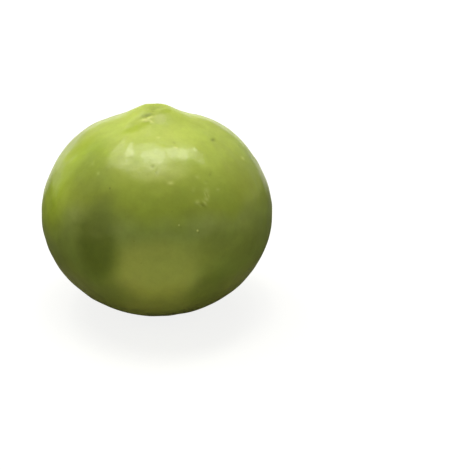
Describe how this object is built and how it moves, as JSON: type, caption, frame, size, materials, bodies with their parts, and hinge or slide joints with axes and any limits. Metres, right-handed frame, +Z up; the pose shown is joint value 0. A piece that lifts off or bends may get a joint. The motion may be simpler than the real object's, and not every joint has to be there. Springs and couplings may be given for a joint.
{
  "type": "white sapote fruit",
  "caption": "Whole round green fruit with a low flat-topped knob and a small stem scar at the crown, resting on a small flat spot.",
  "frame": {"origin": "middle of the flat spot that the fruit rests on, at the bottom centre of its box", "axes": "+Z up through the crown knob; -Y is the side that carries the stem scar; +X to the right seen from that side"},
  "size_m": [0.08, 0.08, 0.0729],
  "materials": {
    "skin": "satin"
  },
  "bodies": {
    "root": {"fruit": "skin"}
  },
  "joints": []
}
